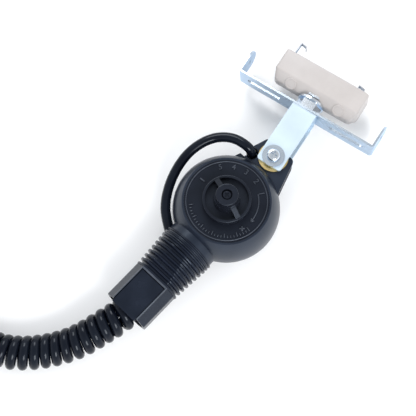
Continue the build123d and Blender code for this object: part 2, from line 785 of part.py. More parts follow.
with BuildPart() as terminal_barrels:
    with BuildSketch(barrel_plane):
        with Locations(*barrel_places):
            Circle(barrel_radius)
            Circle(1.6, mode=Mode.SUBTRACT)
    extrude(amount=barrel_length / 2, both=True)
    with BuildSketch(bracket_plane.offset(barrel_centre)):
        with Locations(*barrel_places):
            Circle(1.25)
    extrude(amount=barrel_radius + 1, mode=Mode.SUBTRACT)
finish(terminal_barrels.part, "terminal_barrels")

terminal_screw_parts = []
for place in barrel_places:
    seat_point = bracket_plane.from_local_coords((place[0], place[1], barrel_centre + barrel_radius + 0.4))
    seat = Plane(origin=seat_point, x_dir=bar_dir, z_dir=strap_dir)
    terminal_screw_parts.append(pan_screw(seat, 1.25, 2.6, 2.1, 1.6))
with BuildPart() as terminal_screws:
    for item in terminal_screw_parts:
        add(item)
finish(terminal_screws.part, "terminal_screws")


def hook_clip(along, across, rise):
    """Spring-steel hook: a strip that rises from the insert's face, turns over and drops its tip."""
    start = bracket_plane.from_local_coords((along, across, block_top))
    profile = Plane(origin=start, x_dir=bar_dir, z_dir=bar_down * -1)
    with BuildPart() as clip:
        with BuildSketch(profile):
            with BuildLine():
                Polyline((-2.0, 0.3), (0, 0.3), (0.3, rise), (4.6, rise - 0.8), (5.4, rise - 2.6))
            trace(line_width=0.6)
        extrude(amount=2.0, both=True)
    return clip.part


clip_across = block_depth / 2 - block_wall - clip_inset
finish(hook_clip(-28.0, -clip_across, clip_rise_front), "terminal_clip_front")
finish(hook_clip(21.0, clip_across, clip_rise_rear), "terminal_clip_rear")

# ---------------------------------------------------------------- cords
def tube(points, radii, outer, bore=0.0):
    """Round tube along straight runs joined by tangent arcs; also gives its length."""
    with BuildPart() as piece:
        with BuildLine() as route:
            FilletPolyline(*points, radius=radii)
        with BuildSketch(Plane(origin=points[0], z_dir=Vector(*points[1]) - Vector(*points[0]))):
            Circle(outer)
            if bore:
                Circle(bore, mode=Mode.SUBTRACT)
        sweep()
    return piece.part, sum(edge.length for edge in route.edges())


# Supply cable: in through the neck, round the ball's left side, and down into the lug's slot
supply_route = [
    (cable_x, -97.3, mid), (cable_x, -72.0, mid), (-7.8, -54.0, 21.2), (-11.2, -41.0, 21.7),
    (-22.5, -34.36, 21.9), (-31.2, -27.6, 23.6), (-38.6, -16.2, 25.5), (-43.6, -1.5, 27.6),
    (-44.4, 13.5, 29.8), (-39.4, 28.2, 32.0), (-28.6, 37.8, 33.9), (-13.4, 39.4, 35.2),
    (-13.4, 38.6, 21.0), (-6.0, 52.0, 21.0),
]
supply_radii = bend_radii(supply_route)
supply_cable, supply_length = tube(supply_route, supply_radii, supply_radius)
print("supply cable radii", [round(r, 1) for r in supply_radii])
report("supply cable", supply_cable.volume, pi * supply_radius ** 2, supply_length)
finish(supply_cable, "supply_cable")

# Its end beyond the pivot: up between the strap's legs and through the nipple into the block
riser_start = 16.0
with BuildPart() as supply_riser:
    with BuildSketch(bracket_plane.offset(riser_start - strap_top)):
        Circle(supply_radius)
    extrude(amount=strap_top - riser_start + nipple_top + 0.5)
finish(supply_riser.part, "supply_riser")

# Three conductors from the cable's end to the barrels
core_radius = 0.7
core_low = nipple_top + 0.5
core_high = barrel_centre - barrel_radius
core_rise = (core_high - core_low) / 3
core_parts = []
for i, place in zip((-1, 0, 1), barrel_places):
    local = [(i * 1.7, 0, core_low), (i * 1.7, 0, core_low + core_rise),
             (place[0], 0, core_high - core_rise), (place[0], 0, core_high)]
    points = [tuple(bracket_plane.from_local_coords(p)) for p in local]
    core_parts.append(tube(points, core_radius + 0.1, core_radius)[0])
with BuildPart() as conductors:
    for item in core_parts:
        add(item)
finish(conductors.part, "conductors")

# Curly cord: its axis from the mouth of the neck down onto the table, then a wide turn back
curly_route = [
    (-0.8, -97.5, 19.4), (-1.2, -103.4, 19.3), (-3.4, -110.8, 18.7), (-5.8, -119.6, 17.4),
    (-9.0, -129.4, 15.6), (-14.1, -139.4, 13.7), (-21.2, -149.2, 12.4), (-29.1, -158.3, 12.0),
    (-37.9, -166.2, 12.0), (-47.2, -172.4, 12.0), (-58.6, -177.7, 12.0), (-72.4, -180.1, 12.0),
    (-86.3, -178.4, 12.0), (-99.1, -172.7, 12.0), (-110.0, -163.9, 12.0), (-119.5, -153.7, 12.0), (-128.5, -143.0, 12.0),
    (-137.5, -133.6, 12.0), (-145.7, -123.5, 12.0),
]
curly_radii = bend_radii(curly_route)
curly_cord, curly_length = tube(curly_route, curly_radii, coil_radius, coil_bore)
print("curly cord radii", [round(r, 1) for r in curly_radii])
report("curly cord", curly_cord.volume, pi * (coil_radius ** 2 - coil_bore ** 2), curly_length)
finish(curly_cord, "curly_cord")

# Lower fitting at the cord's end: a cup, the wire's ferrule, and the lamp's nipple with its nut
end_dir = Vector(*curly_route[-1]) - Vector(*curly_route[-2])
end_plane = Plane(origin=curly_route[-1], z_dir=end_dir)
cup_length = 24.0
cup_radius = coil_radius
ferrule_radius = 2.2
ferrule_end = 10.0
lamp_thread_length = 10.0
lower_nipple_start = 15.0
thread_radius = 4.9
relief_radius = 4.4
relief_length = 1.0
with BuildPart() as lower_fitting:
    with BuildSketch(end_plane):
        Circle(cup_radius)
    extrude(amount=cup_length)
    fillet(lower_fitting.edges().sort_by(lambda e: end_plane.to_local_coords(e.center()).Z)[-1], 3.0)
    with BuildSketch(end_plane):
        Circle(ferrule_radius)
    extrude(amount=ferrule_end, mode=Mode.SUBTRACT)
    with BuildSketch(end_plane.offset(lower_nipple_start)):
        Circle(nipple_radius)
    extrude(amount=cup_length, mode=Mode.SUBTRACT)
finish(lower_fitting.part, "lower_fitting")
relief_start = cup_length + thin_nut_height
lamp_thread_start = relief_start + relief_length
lamp_thread_end = lamp_thread_start + lamp_thread_length
with BuildPart() as lower_nipple:
    for radius, low, high in ((nipple_radius, lower_nipple_start, relief_start),
                              (relief_radius, relief_start, lamp_thread_start),
                              (thread_radius, lamp_thread_start, lamp_thread_end)):
        with BuildSketch(end_plane.offset(low)):
            Circle(radius)
        extrude(amount=high - low)
    with BuildSketch(end_plane.offset(lower_nipple_start)):
        Circle(supply_radius)
    extrude(amount=lamp_thread_end, mode=Mode.SUBTRACT)
finish(lower_nipple.part, "lower_nipple")
finish(hex_nut(end_plane.offset(cup_length), thin_nut_flats, nipple_radius, thin_nut_height), "lower_nut")
finish(ring(end_plane.offset(4.0), ferrule_radius, wire_radius, ferrule_end - 4.0), "wire_ferrule")

# Suspension wire: off the drum, through the guide and the clamp, and along the curly cord's axis
guide_corner = ball_radius - 3.5
pull_radius = drum_core + winding_depth + wire_radius + body_gap
lead_angle = acos(pull_radius / guide_corner) - pi / 2
wire_start = (pull_radius * cos(lead_angle), pull_radius * sin(lead_angle), mid)
wire_end = tuple(end_plane.from_local_coords((0, 0, 8.0)))
wire_route = [wire_start, (0, -guide_corner, mid), (0, -clamp_far - 1.0, mid)] + curly_route[:-1] + [wire_end]
wire_radii = [3.0] + bend_radii(wire_route[1:], 200)
suspension_wire, wire_length = tube(wire_route, wire_radii, wire_radius)
report("suspension wire", suspension_wire.volume, pi * wire_radius ** 2, wire_length)
finish(suspension_wire, "suspension_wire")
print("lower end", end_plane.origin, "direction", end_plane.z_dir)
print("pivot", pivot, "leg planes", round(leg_inner, 2), round(leg_outer, 2))
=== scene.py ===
"""Looks of a rise-and-fall suspension for a pendant lamp, lying on its flat back.

Metres, in the model's frame: +Z out of the dial, +Y towards the hanger.
"""
import math
import bpy
import numpy as np
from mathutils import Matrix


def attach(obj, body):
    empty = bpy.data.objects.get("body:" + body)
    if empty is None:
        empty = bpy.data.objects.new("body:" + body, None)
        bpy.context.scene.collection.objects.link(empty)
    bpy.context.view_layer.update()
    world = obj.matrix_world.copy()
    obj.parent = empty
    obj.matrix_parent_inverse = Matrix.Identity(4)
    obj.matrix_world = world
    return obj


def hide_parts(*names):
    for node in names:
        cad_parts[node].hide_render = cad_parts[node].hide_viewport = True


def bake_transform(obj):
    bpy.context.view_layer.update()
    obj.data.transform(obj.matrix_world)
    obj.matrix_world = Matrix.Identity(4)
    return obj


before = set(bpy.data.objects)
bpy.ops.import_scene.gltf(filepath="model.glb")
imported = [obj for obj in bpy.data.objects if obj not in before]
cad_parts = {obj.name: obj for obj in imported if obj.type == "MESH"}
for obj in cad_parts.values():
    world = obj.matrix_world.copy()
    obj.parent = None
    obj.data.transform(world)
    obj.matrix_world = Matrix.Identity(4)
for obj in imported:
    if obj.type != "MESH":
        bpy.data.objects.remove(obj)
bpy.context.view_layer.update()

# ------------------------------------------------------------------ camera, table and lamps
# A long lens high above the table, turned so that the hanger runs to the upper right and the neck
# to the lower left.  The table is a plain white sheet under two soft lamps and an even sky.
camera_azimuth = math.radians(43.4)
camera_elevation = math.radians(75.2)
camera_place = (0.13099, -0.15649, 0.79463)
camera_data = bpy.data.cameras.new("camera")
camera_data.lens = 102.04
camera_data.sensor_width = 36.0
camera = bpy.data.objects.new("camera", camera_data)
bpy.context.collection.objects.link(camera)
camera.rotation_euler = (math.pi / 2 - camera_elevation, 0.0, camera_azimuth)
camera.location = camera_place
bpy.context.scene.camera = camera
bpy.context.scene.view_settings.view_transform = "Standard"

table_edge = 6
table_mesh = bpy.data.meshes.new("table")
table_mesh.from_pydata([(-table_edge, -table_edge, 0), (table_edge, -table_edge, 0),
                        (table_edge, table_edge, 0), (-table_edge, table_edge, 0)], [], [(0, 1, 2, 3)])
table = bpy.data.objects.new("table", table_mesh)
bpy.context.collection.objects.link(table)
table_finish = bpy.data.materials.new("white_sheet")
table_finish.use_nodes = True
table_shader = table_finish.node_tree.nodes["Principled BSDF"]
table_shader.inputs["Base Color"].default_value = (0.96, 0.96, 0.96, 1)
table_shader.inputs["Roughness"].default_value = 0.9
table_mesh.materials.append(table_finish)

horizon_strength, zenith_strength = 1.35, 0.62
sky = bpy.data.worlds.new("sky")
sky.use_nodes = True
sky_nodes, sky_links = sky.node_tree.nodes, sky.node_tree.links
sky_light = sky_nodes["Background"]
sky_light.inputs["Color"].default_value = (0.93, 0.96, 1.0, 1)
sky_way = sky_nodes.new("ShaderNodeTexCoord")
sky_parts = sky_nodes.new("ShaderNodeSeparateXYZ")
sky_fall = sky_nodes.new("ShaderNodeMapRange")
sky_fall.inputs["To Min"].default_value = horizon_strength
sky_fall.inputs["To Max"].default_value = zenith_strength
sky_links.new(sky_way.outputs["Generated"], sky_parts.inputs["Vector"])
sky_links.new(sky_parts.outputs["Z"], sky_fall.inputs["Value"])
sky_links.new(sky_fall.outputs["Result"], sky_light.inputs["Strength"])
bpy.context.scene.world = sky


def soft_lamp(name, place, aim, width, power):
    """Square area lamp at a place, turned so that it looks at the aim."""
    data = bpy.data.lights.new(name, "AREA")
    data.size = width
    data.energy = power
    lamp = bpy.data.objects.new(name, data)
    bpy.context.collection.objects.link(lamp)
    lamp.location = place
    away = np.array(place) - np.array(aim)
    lamp.rotation_euler = (math.acos(away[2] / np.linalg.norm(away)), 0,
                           math.atan2(away[1], away[0]) + math.pi / 2)


soft_lamp("key_lamp", (0.60, -0.34, 0.58), (0, 0, 0.02), 0.42, 6.5)
soft_lamp("fill_lamp", (-0.50, 0.35, 0.62), (0, 0, 0.02), 0.4, 3.8)

# ------------------------------------------------------------------ curly cord
# One round black mains cord wound as a tight helix about the steel wire.  It leaves the clamp
# box's mouth, sinks to the table, turns back in a wide bend and is held by the lower fitting.
cord_diameter = 0.007
coil_radius = 0.0082
straight_pitch = 0.00678
bend_opening = 0.55
bend_smoothing = 60
first_turn = math.radians(165.0)
mouth_squeeze, squeeze_length = 0.0008, 0.002
coil_axis_points = np.array([
    (-0.8, -97.5, 19.4), (-1.2, -103.4, 19.3), (-3.4, -110.8, 18.7), (-5.8, -119.6, 17.4),
    (-8.8, -129.4, 15.6), (-13.5, -139.6, 13.7), (-20.2, -149.9, 12.4), (-27.9, -159.5, 12.0),
    (-36.6, -167.6, 12.0), (-46.2, -173.8, 12.0), (-58.2, -178.6, 12.0), (-72.4, -180.3, 12.0),
    (-86.3, -178.4, 12.0), (-99.1, -172.7, 12.0), (-110.0, -163.9, 12.0), (-119.5, -153.7, 12.0),
    (-128.5, -143.0, 12.0), (-137.5, -133.6, 12.0), (-145.7, -123.5, 12.0)]) / 1000


def smooth_line(points, resolution=24):
    """Points read from a NURBS spline whose control points are the given ones."""
    curve = bpy.data.curves.new("route", "CURVE")
    curve.dimensions = "3D"
    spline = curve.splines.new("NURBS")
    spline.points.add(len(points) - 1)
    spline.points.foreach_set("co", np.c_[points, np.ones(len(points))].astype(np.float32).ravel())
    spline.order_u = 3
    spline.use_endpoint_u = True
    spline.resolution_u = resolution
    route = bpy.data.objects.new("route", curve)
    mesh = bpy.data.meshes.new_from_object(route)
    line = np.empty(3 * len(mesh.vertices))
    mesh.vertices.foreach_get("co", line)
    bpy.data.objects.remove(route)
    bpy.data.curves.remove(curve)
    bpy.data.meshes.remove(mesh)
    return line.reshape(-1, 3)


def even_steps(line, count):
    """The line at count places, evenly spaced by length, and its length."""
    run = np.r_[0, np.cumsum(np.linalg.norm(np.diff(line, axis=0), axis=1))]
    at = np.linspace(0, run[-1], count)
    return np.stack([np.interp(at, run, line[:, k]) for k in range(3)], axis=1), run[-1]


def grid_piece(name, grid, wrap=True, ends=False, loop=False, crisp=0):
    """Mesh whose vertex (i, j) is grid[i, j].  Wrap joins the last column to the first, and loop the
    last row to the first; ends close the first and last rows with one flat face each.  Folds sharper
    than crisp degrees stay sharp."""
    rows, columns = grid.shape[:2]
    place = np.arange(rows * columns).reshape(rows, columns)
    if loop:
        place = np.vstack([place, place[:1]])
    nxt = np.roll(place, -1, axis=1)
    if not wrap:
        place, nxt = place[:, :-1], nxt[:, :-1]
    faces = np.stack([place[:-1], nxt[:-1], nxt[1:], place[1:]], axis=-1).reshape(-1, 4).tolist()
    if ends:
        faces.append(list(range(columns))[::-1])
        faces.append(list(range((rows - 1) * columns, rows * columns)))
    mesh = bpy.data.meshes.new(name)
    mesh.from_pydata(grid.reshape(-1, 3).tolist(), [], faces)
    mesh.shade_smooth()
    if crisp:
        mesh.set_sharp_from_angle(angle=math.radians(crisp))
    piece = bpy.data.objects.new(name, mesh)
    bpy.context.collection.objects.link(piece)
    return piece


def round_tube(name, line, radius, across, sides=16):
    """Round tube along a line.  Vertex (i, j) is line[i] + radius (cos a across[i] + sin a b[i]),
    where b is the line's direction crossed with across."""
    along = np.gradient(line, axis=0)
    along /= np.linalg.norm(along, axis=1, keepdims=True)
    across = across - along * np.sum(along * across, axis=1, keepdims=True)
    across /= np.linalg.norm(across, axis=1, keepdims=True)
    other = np.cross(along, across)
    turn = np.linspace(0, 2 * math.pi, sides, endpoint=False)
    radius = np.broadcast_to(radius, len(line))
    grid = line[:, None] + radius[:, None, None] * (np.cos(turn)[None, :, None] * across[:, None]
                                                    + np.sin(turn)[None, :, None] * other[:, None])
    return grid_piece(name, grid, ends=True)


def moulded(name, dark, light, rough, grain, depth, coat=0.0, gloss=0.5):
    """Moulded plastic: two near tones in soft clouds, a fine grain that raises the surface, and
    roughness that drifts a little.  Gloss is how strongly the bare surface mirrors."""
    finish = bpy.data.materials.new(name)
    finish.use_nodes = True
    nodes, links = finish.node_tree.nodes, finish.node_tree.links
    shader = nodes["Principled BSDF"]
    where = nodes.new("ShaderNodeTexCoord")
    cloud = nodes.new("ShaderNodeTexNoise")
    cloud.inputs["Scale"].default_value = 55.0
    cloud.inputs["Detail"].default_value = 3.0
    links.new(where.outputs["Object"], cloud.inputs["Vector"])
    tone = nodes.new("ShaderNodeValToRGB")
    tone.color_ramp.elements[0].position = 0.35
    tone.color_ramp.elements[0].color = (*dark, 1)
    tone.color_ramp.elements[1].position = 0.65
    tone.color_ramp.elements[1].color = (*light, 1)
    links.new(cloud.outputs["Fac"], tone.inputs["Fac"])
    links.new(tone.outputs["Color"], shader.inputs["Base Color"])
    sheen = nodes.new("ShaderNodeMapRange")
    sheen.inputs["To Min"].default_value = rough - 0.04
    sheen.inputs["To Max"].default_value = rough + 0.05
    links.new(cloud.outputs["Fac"], sheen.inputs["Value"])
    links.new(sheen.outputs["Result"], shader.inputs["Roughness"])
    speck = nodes.new("ShaderNodeTexNoise")
    speck.inputs["Scale"].default_value = grain
    speck.inputs["Detail"].default_value = 2.0
    links.new(where.outputs["Object"], speck.inputs["Vector"])
    bump = nodes.new("ShaderNodeBump")
    bump.inputs["Strength"].default_value = 0.5
    bump.inputs["Distance"].default_value = depth
    links.new(speck.outputs["Fac"], bump.inputs["Height"])
    links.new(bump.outputs["Normal"], shader.inputs["Normal"])
    shader.inputs["Coat Weight"].default_value = coat
    shader.inputs["Coat Roughness"].default_value = 0.1
    shader.inputs["Specular IOR Level"].default_value = gloss
    shader.inputs["Specular Tint"].default_value = (0.72, 0.84, 1.0, 1)
    return finish


def wear(piece, finish):
    """Gives a piece one finish all over."""
    piece.data.materials.clear()
    piece.data.materials.append(finish)


cord_jacket = moulded("cord_jacket", (0.003, 0.004, 0.008), (0.005, 0.007, 0.012),
                      0.17, 900.0, 0.00003, 0.16, 0.1)

axis_line, axis_length = even_steps(smooth_line(coil_axis_points), 1400)
axis_along = np.gradient(axis_line, axis=0)
axis_along /= np.linalg.norm(axis_along, axis=1, keepdims=True)
axis_side = np.cross(axis_along, (0.0, 0.0, 1.0))
axis_side /= np.linalg.norm(axis_side, axis=1, keepdims=True)
axis_up = np.cross(axis_side, axis_along)
step = axis_length / (len(axis_line) - 1)
bend = np.linalg.norm(np.gradient(axis_along, axis=0), axis=1) / step
window = 2 * bend_smoothing + 1
bend = np.convolve(np.pad(bend, bend_smoothing, mode="edge"), np.ones(window) / window, mode="valid")
pitch = straight_pitch / (1 - bend_opening * coil_radius * bend)
swing = first_turn - np.r_[0, np.cumsum(2 * math.pi * step / pitch)[:-1]]
swell = coil_radius - mouth_squeeze * np.exp(-np.arange(len(axis_line)) * step / squeeze_length)
outward = np.cos(swing)[:, None] * -axis_side + np.sin(swing)[:, None] * axis_up
helix = axis_line + swell[:, None] * outward
curly_cord = round_tube("curly_cord_wound", helix, cord_diameter / 2, outward, 14)
wear(curly_cord, cord_jacket)
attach(curly_cord, "housing")
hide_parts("curly_cord")
helix_length = float(np.sum(np.linalg.norm(np.diff(helix, axis=0), axis=1)))
print("curly cord", round(helix_length, 3), "turns", round((swing[0] - swing[-1]) / 2 / math.pi, 1),
      "axis", round(axis_length, 4))

# ------------------------------------------------------------------ supply cable
# The same round cord as it comes from the ceiling: out of the neck, round the ball's left side and
# down through the notch in the lug, where it meets the cable between the strap's legs.
supply_diameter = 0.0068
supply_points = np.array([
    (-7.5, -97.3, 21.0), (-7.5, -72.0, 21.0), (-7.8, -54.0, 21.2), (-11.2, -41.0, 21.7),
    (-22.5, -34.36, 21.9), (-31.2, -27.6, 23.6), (-38.6, -16.2, 25.5), (-43.6, -1.5, 27.6),
    (-44.4, 13.5, 29.8), (-39.4, 28.2, 32.0), (-28.6, 37.8, 33.9), (-13.4, 39.4, 35.2),
    (-13.4, 38.6, 21.0), (-6.0, 52.0, 21.0), (-2.9, 62.4, 21.0)]) / 1000
supply_line, supply_length = even_steps(smooth_line(supply_points), 320)


def carried_normal(line, first):
    """A direction square to the line, carried along it with no twist, a step at a time."""
    along = np.gradient(line, axis=0)
    along /= np.linalg.norm(along, axis=1, keepdims=True)
    normal = [np.array(first, float)]
    for direction in along[1:]:
        moved = normal[-1] - direction * (normal[-1] @ direction)
        normal.append(moved / np.linalg.norm(moved))
    return np.array(normal)


supply_cable = round_tube("supply_cable_round", supply_line, supply_diameter / 2,
                          carried_normal(supply_line, (1, 0, 0)), 20)
wear(supply_cable, cord_jacket)
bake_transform(supply_cable)
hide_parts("supply_cable")
wear(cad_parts["supply_riser"], cord_jacket)
print("supply", round(supply_length, 4))

# ------------------------------------------------------------------ suspension wire
# Thin steel wire rope off the drum, through the guide and the clamp, and along the middle of the
# curly cord to the lower fitting.  It carries the lamp, so it runs tight.
strand_steel = moulded("strand_steel", (0.30, 0.31, 0.33), (0.46, 0.47, 0.49), 0.35, 1500.0, 0.00003)
strand_steel.node_tree.nodes["Principled BSDF"].inputs["Metallic"].default_value = 1.0
wire_diameter = 0.0015
wire_points = np.vstack([np.array([(16.5, -16.45, 21), (0, -33, 21), (0, -86, 21)]) / 1000,
                         coil_axis_points[:-1], np.array([(-150.74, -117.29, 12)]) / 1000])
wire_line, wire_length = even_steps(smooth_line(wire_points), 400)
suspension_wire = round_tube("suspension_wire_rope", wire_line, wire_diameter / 2,
                             carried_normal(wire_line, (0, 0, 1)), 10)
wear(suspension_wire, strand_steel)
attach(suspension_wire, "housing")
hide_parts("suspension_wire")
print("wire", round(wire_length, 4))
wear(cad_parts["wire_ferrule"], strand_steel)
wear(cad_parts["wire_winding"], strand_steel)

# ------------------------------------------------------------------ ball housing
# Two satin black moulded shells screwed together from the back, with a forked lug towards the
# hanger and a shoulder for the neck.
housing_black = moulded("housing_black", (0.006, 0.009, 0.017), (0.010, 0.014, 0.025),
                        0.33, 2600.0, 0.00003, 0.0, 0.42)
for shell in ("front_shell", "back_shell"):
    wear(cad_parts[shell], housing_black)

# ------------------------------------------------------------------ dial
# Matt black disc let into the ball's face, moulded with a rim line, strength numerals and an arrow
# that shows which way the knob tightens the spring.
dial_black = moulded("dial_black", (0.005, 0.006, 0.010), (0.008, 0.010, 0.016),
                     0.4, 3200.0, 0.00004, 0.0, 0.16)
wear(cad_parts["dial_plate"], dial_black)
dial_top = 0.042
mark_height = 0.0006
rim_height = 0.00035
wall_lean = 0.00008


def dial_point(radius, angle):
    """Point of the dial at a radius from its middle and an angle in degrees."""
    return radius * np.array([math.cos(math.radians(angle)), math.sin(math.radians(angle))])


def on_dial(points, centre, angle):
    """Points turned by an angle in degrees about the dial's middle, then moved to a centre."""
    c, s = math.cos(math.radians(angle)), math.sin(math.radians(angle))
    x, y = points[..., 0], points[..., 1]
    return np.stack([x * c - y * s + centre[0], x * s + y * c + centre[1], points[..., 2]], axis=-1)


def band(name, inner, outer, first, last, low, high, count=96):
    """Raised flat band on the dial: a ring sector between two radii and two angles, with slightly
    drawn-in walls.  Rows run round the sector, columns round its section."""
    angle = np.radians(np.linspace(first, last, count))
    section = np.array([(inner, low), (inner + wall_lean, high), (outer - wall_lean, high), (outer, low)])
    grid = np.stack([section[None, :, 0] * np.cos(angle)[:, None],
                     section[None, :, 0] * np.sin(angle)[:, None],
                     np.broadcast_to(section[None, :, 1], (count, 4))], axis=-1)
    return grid_piece(name, grid, ends=True)


def bar_mark(name, centre, size, angle):
    """Raised bar on the dial: a flat block with drawn-in walls, turned by an angle."""
    long, wide = size[0] / 2, size[1] / 2
    corner = np.array([(-long, -wide), (long, -wide), (long, wide), (-long, wide)])
    rows = np.stack([np.c_[corner, np.full(4, dial_top)],
                     np.c_[corner * 0.9, np.full(4, dial_top + mark_height)]])
    return grid_piece(name, on_dial(rows, centre, angle), ends=True)


def numeral(name, text, centre, height, angle):
    """Raised numeral on the dial, made a mesh and set in its place."""
    curve = bpy.data.curves.new(name, "FONT")
    curve.body = text
    curve.size = height
    curve.extrude = mark_height
    curve.align_x = "CENTER"
    curve.align_y = "CENTER"
    flat = bpy.data.objects.new(name + "_flat", curve)
    mesh = bpy.data.meshes.new_from_object(flat)
    bpy.data.objects.remove(flat)
    spot = np.empty(3 * len(mesh.vertices))
    mesh.vertices.foreach_get("co", spot)
    placed = on_dial(spot.reshape(-1, 3), centre, angle)
    placed[:, 2] += dial_top
    mesh.vertices.foreach_set("co", placed.ravel())
    mesh.update()
    piece = bpy.data.objects.new(name, mesh)
    bpy.context.collection.objects.link(piece)
    return piece


mark_black = moulded("mark_black", (0.030, 0.034, 0.044), (0.050, 0.056, 0.070), 0.3, 3200.0, 0.00002)
view_turn = math.degrees(camera_azimuth)
arrow_head, arrow_tail = view_turn - 42, view_turn + 12
marks = [band("dial_rim_line", 0.0267, 0.0273, 0, 360, dial_top, dial_top + rim_height, 181)]
marks.append(band("dial_arrow_shaft", 0.0209, 0.0216, arrow_head, arrow_tail, dial_top,
                  dial_top + mark_height))
for side in (-1, 1):
    barb = arrow_head + 90 + side * 32
    marks.append(bar_mark(f"dial_arrow_barb_{side + 1}",
                          dial_point(0.02125, arrow_head) + dial_point(0.0011, barb), (0.0024, 0.0006), barb))
for index, value in enumerate("54321"):
    angle = view_turn + 100 - 22 * index
    marks.append(numeral(f"dial_numeral_{value}", value, dial_point(0.0236, angle), 0.0052, angle - 90))
for index in range(25):
    angle = view_turn + 186 + 5.0 * index
    long = 0.0030 if index % 4 == 0 else 0.0016
    marks.append(bar_mark(f"dial_tick_{index}", dial_point(0.0252 - long / 2, angle), (long, 0.00045), angle))
marks.append(bar_mark("dial_minus", dial_point(0.0215, view_turn + 138), (0.0040, 0.0008), view_turn - 38))
for index in range(2):
    marks.append(bar_mark(f"dial_plus_{index}", dial_point(0.0214, view_turn - 62), (0.0036, 0.0008),
                          view_turn + 90 * index))
for mark in marks:
    wear(mark, mark_black)
    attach(mark, "housing")

# ------------------------------------------------------------------ tension knob
# Black moulded cup with a stepped hub and two fins to grip, held on the arbor by a screw in the
# dimple of its hub.
knob_black = moulded("knob_black", (0.006, 0.007, 0.011), (0.010, 0.012, 0.018),
                     0.26, 3000.0, 0.00003, 0.0, 0.24)
for piece in ("tension_knob", "knob_screw"):
    wear(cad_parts[piece], knob_black)

# ------------------------------------------------------------------ neck sleeve and clamp cover
# Soft satin black moulding slipped over the ball's shoulder: eight rounded grip ribs that go from
# round to an octagonal box, open at its mouth, with a raised frame round the cord clamp's cover.
neck_black = moulded("neck_black", (0.005, 0.007, 0.013), (0.009, 0.012, 0.021),
                     0.26, 2600.0, 0.00003, 0.0, 0.26)
for piece in ("clamp_cover", "lower_fitting"):
    wear(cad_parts[piece], neck_black)
neck_middle = 0.021
rib_pitch = 0.00365
neck_start, box_start, mouth = 0.041, 0.0684, 0.097
ridge_top, cover_floor = 13.8, 10.7
ridge_foot = 0.01315


def spread(corners, counts):
    """Points along a closed run of corners, each side cut into its own count of equal steps."""
    after = np.roll(corners, -1, axis=0)
    return np.concatenate([a + (b - a) * np.linspace(0, 1, n, endpoint=False)[:, None]
                           for a, b, n in zip(corners, after, counts)])


def box_outline(inset, ridge, floor):
    """Section of the box in millimetres as x and height: an octagon pulled in by an inset.  Its top
    has a rounded ridge at each side of a floor, at these heights."""
    wide, high = 16.5 - inset, 13 - inset
    side, face = 5 - 0.3 * inset, 11 - 0.45 * inset
    top = [(face, high), (face - 0.1, ridge - 0.25), (face - 0.4, ridge), (face - 0.7, ridge - 0.25),
           (face - 0.8, floor)]
    corners = [(wide, -side), (wide, side)] + top + [(-x, z) for x, z in top[::-1]]
    corners += [(-wide, side), (-wide, -side), (-face, -high), (face, -high)]
    return spread(np.array(corners), [10, 10, 1, 1, 1, 1, 24, 1, 1, 1, 1, 10, 10, 10, 24, 10])


def neck_surface():
    """Closed shell in rows along the neck.  A rib row's radius is the smaller of a circle and an
    octagon that closes in along the neck, less the groove's depth times one minus the crest, where
    the crest is a clipped sine of the place within the pitch.  Box rows are the box's outline; the
    last rows turn in at the mouth and come back as the inner wall.  A side of the octagon is given
    by its direction, folded into the first quarter, and its distance from the middle line."""
    shape = box_outline(0, ridge_top, ridge_top)
    angle = np.unwrap(np.arctan2(shape[:, 1], shape[:, 0]))
    angle = np.maximum.accumulate(angle + np.arange(len(angle)) * 1e-6)
    folded = np.arccos(np.abs(np.cos(angle)))
    rows = []
    for run in np.linspace(0, box_start - neck_start, 97):
        blend = min(run / (7 * rib_pitch), 1.0)
        crest = np.clip(1.3 * np.sin(math.pi * (run / rib_pitch % 1.0) / 0.66), 0, 1)
        radius = 19.5 - 1.9 * blend
        sides = ((0, radius - 0.15 * blend), (math.pi / 2, radius - 3.0 * blend),
                 (math.radians(34.5), radius * 1.004 - 0.15 * blend))
        flats = [away / np.maximum(np.abs(np.cos(folded - way)), 1e-3) for way, away in sides]
        reach = np.minimum(np.min(flats, axis=0), radius) - 2.1 * (1 - crest)
        rows.append(np.c_[reach * np.cos(angle), np.full(len(angle), -1000 * (neck_start + run)),
                          reach * np.sin(angle)])

    def level(outline, place):
        return np.c_[outline[:, 0], np.full(len(outline), -place), outline[:, 1]]

    rows.append(level(shape, 68.45))
    rows.append(level(shape, 69.7))
    framed = box_outline(0, ridge_top, cover_floor)
    rows.append(level(framed, 69.8))
    rows += [level(framed, place) for place in np.linspace(70.5, 96.7, 12)]
    rows.append(level(box_outline(0.25, 13.6, cover_floor), 1000 * mouth))
    inner = box_outline(2.0, 9.8, 9.6)
    rows.append(level(inner, 1000 * mouth))
    rows.append(level(inner, 69.2))
    for reach, place in ((11.6, 68.6), (14.9, 44.4), (17.9, 44.2), (17.9, 41.0)):
        rows.append(np.c_[reach * np.cos(angle), np.full(len(angle), -place), reach * np.sin(angle)])
    grid = np.array(rows) / 1000
    grid[..., 2] += neck_middle
    return grid


neck_sleeve = grid_piece("neck_sleeve_ribbed", neck_surface(), loop=True, crisp=38)
wear(neck_sleeve, neck_black)
# Painted highlight: the faces on top of the frame's ridges wear a lighter, glossier black than the rest of
# the sleeve. It is painted in to stand for the bright line of light along each ridge.
neck_ridge_painted_highlight = moulded("neck_ridge_painted_highlight", (0.045, 0.052, 0.066), (0.075, 0.085, 0.105), 0.2, 2600.0, 0.00002)
neck_sleeve.data.materials.append(neck_ridge_painted_highlight)
faces = neck_sleeve.data.polygons
middles = np.empty(3 * len(faces))
faces.foreach_get("center", middles)
middles = middles.reshape(-1, 3)
ridge_painted_highlight_faces = (middles[:, 2] > neck_middle + ridge_foot) & (middles[:, 1] < 0.0001 - box_start)
faces.foreach_set("material_index", ridge_painted_highlight_faces.astype(np.int32))
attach(neck_sleeve, "housing")
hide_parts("neck_sleeve")


